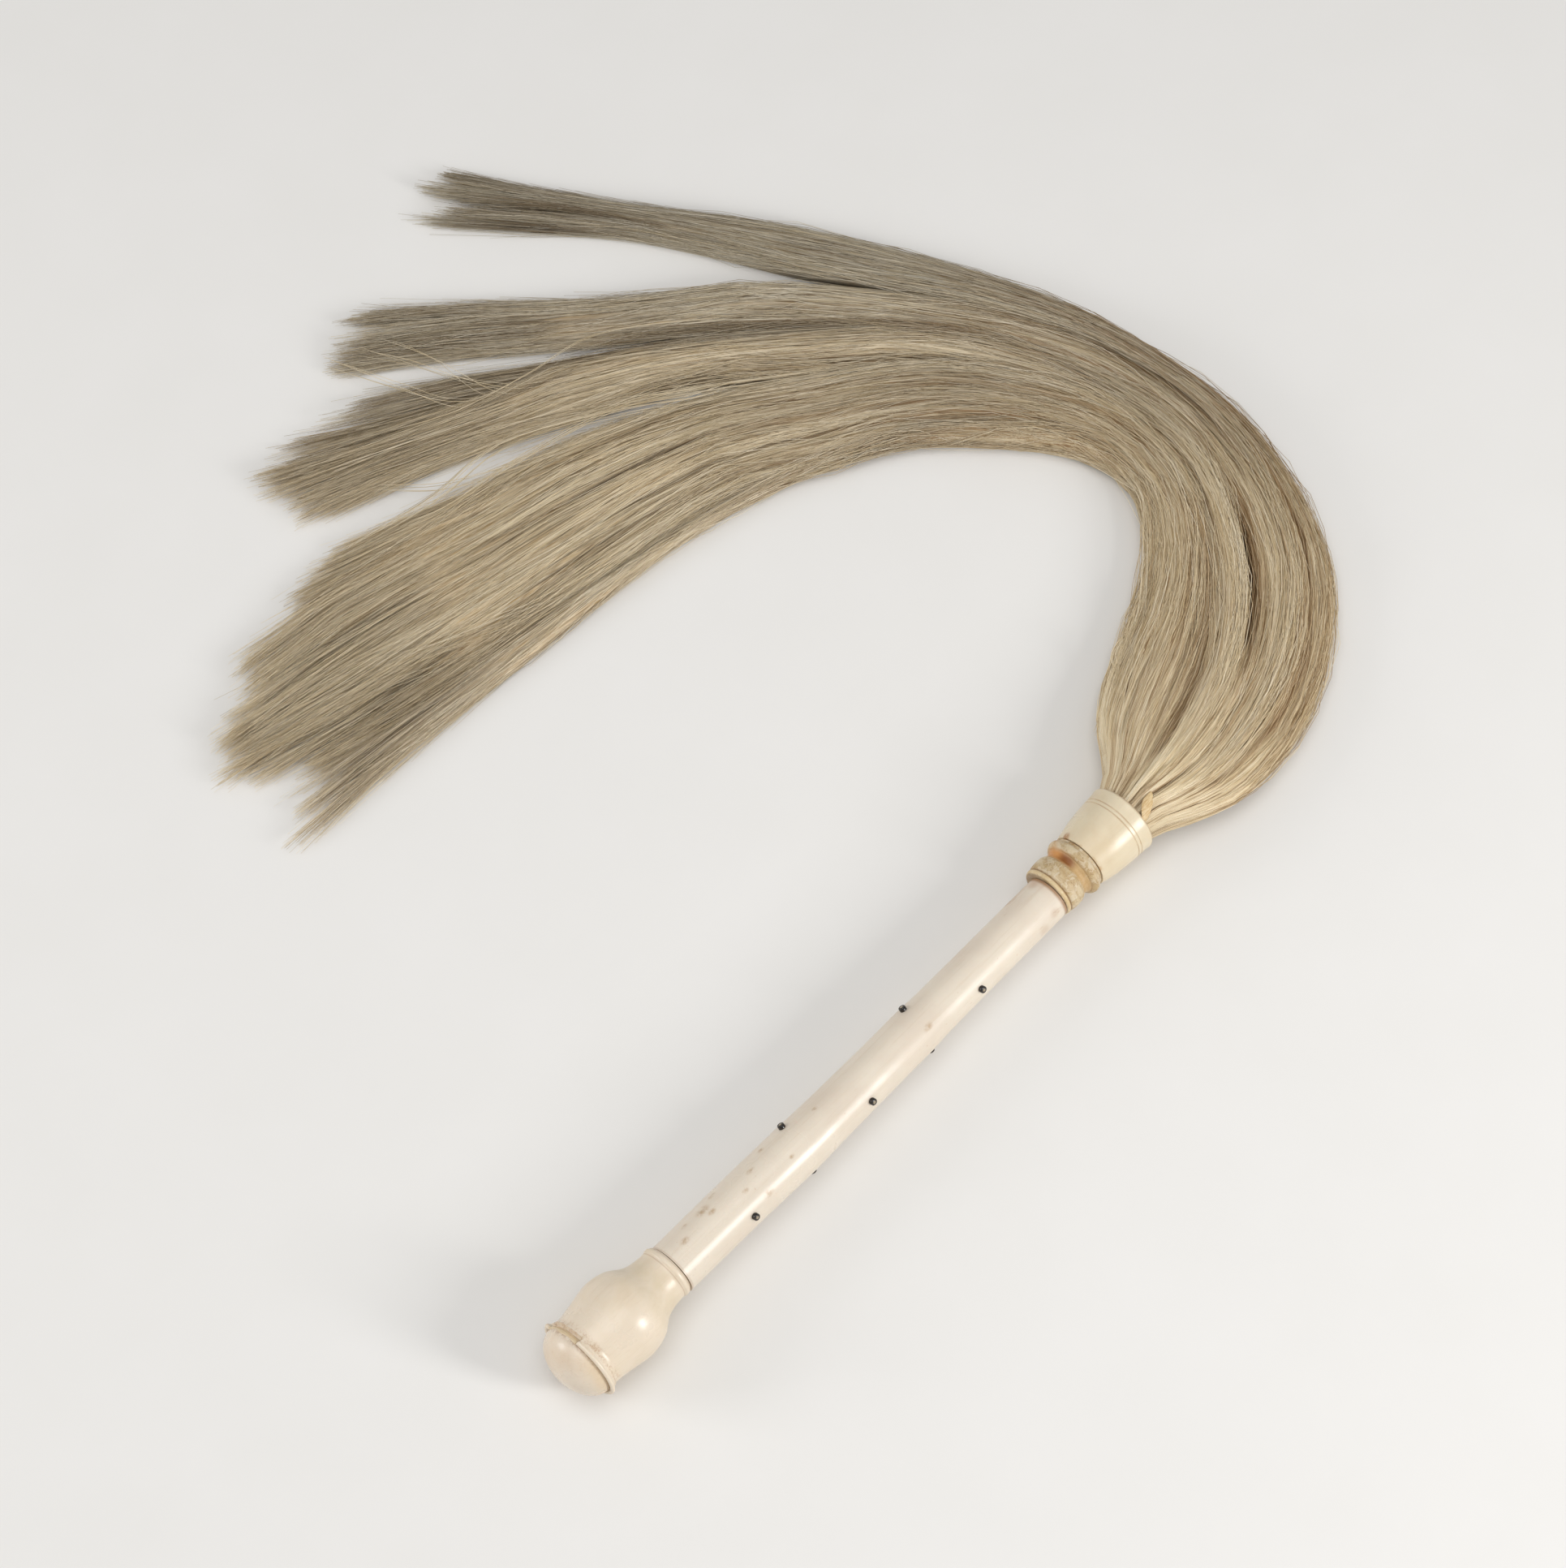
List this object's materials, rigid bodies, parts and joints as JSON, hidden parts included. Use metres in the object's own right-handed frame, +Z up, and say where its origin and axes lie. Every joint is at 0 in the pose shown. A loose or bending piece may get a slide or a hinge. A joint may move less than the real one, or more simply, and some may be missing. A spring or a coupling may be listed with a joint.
{
  "type": "fly whisk",
  "caption": "Fly whisk lying down: a straight turned ivory handle with a domed pommel, dark studs and a socket cup, and a long horse-hair tail swept round beside it.",
  "frame": {"origin": "middle of the base of the box round the whole whisk, on the surface that it lies on", "axes": "+X along the handle from its pommel to its socket, +Y to the left of it, the side that the tail sweeps round to, +Z up"},
  "size_m": [0.476, 0.4224, 0.035],
  "materials": {
    "ivory": "gloss",
    "stained_ivory": "satin",
    "bone": "satin",
    "dark_horn": "gloss",
    "pitch": "satin",
    "thread": "matte",
    "hide": "matte",
    "horse_hair": "satin"
  },
  "bodies": {
    "handle": {"pommel_cap": "ivory", "pommel_bulb": "ivory", "pommel_dowel": "bone", "shaft": "ivory", "stud_right_1": "dark_horn", "stud_right_2": "dark_horn", "stud_right_3": "dark_horn", "stud_left_1": "dark_horn", "stud_left_2": "dark_horn", "stud_under_left_1": "dark_horn", "stud_under_left_2": "dark_horn", "stud_under_left_3": "dark_horn", "stud_under_right_1": "dark_horn", "stud_under_right_2": "dark_horn", "ferrule_collar": "stained_ivory", "ferrule_dowel": "bone", "ferrule_cup": "ivory", "socket_pitch": "pitch", "hair_root": "horse_hair", "root_binding": "thread", "root_wedge": "hide"},
    "waist": {"hair_waist": "horse_hair"},
    "tail": {"near_bundle_outer": "horse_hair", "near_bundle_middle": "horse_hair", "near_bundle_inner": "horse_hair", "far_bundle_outer": "horse_hair", "far_bundle_middle": "horse_hair", "far_bundle_inner": "horse_hair", "top_lock_upper": "horse_hair", "top_lock_lower": "horse_hair", "second_lock_upper": "horse_hair", "second_lock_lower": "horse_hair", "thin_lock": "horse_hair", "third_lock_upper": "horse_hair", "third_lock_lower": "horse_hair", "main_lock_outer": "horse_hair", "main_lock_middle": "horse_hair", "main_lock_inner": "horse_hair", "fringe_lock": "horse_hair"}
  },
  "joints": [
    {"name": "tail_lift", "type": "hinge", "parent": "handle", "child": "waist", "pos_m": [0.07523, -0.1852, 0.008], "axis": [0.7133, -0.7009, 0], "range_deg": [0, 60], "deforming": ["hair_waist"]},
    {"name": "tail_sway", "type": "hinge", "parent": "waist", "child": "tail", "pos_m": [0.12223, -0.1762, 0.008], "axis": [0, 0, 1], "range_deg": [-40, 30], "deforming": ["hair_waist"]}
  ]
}
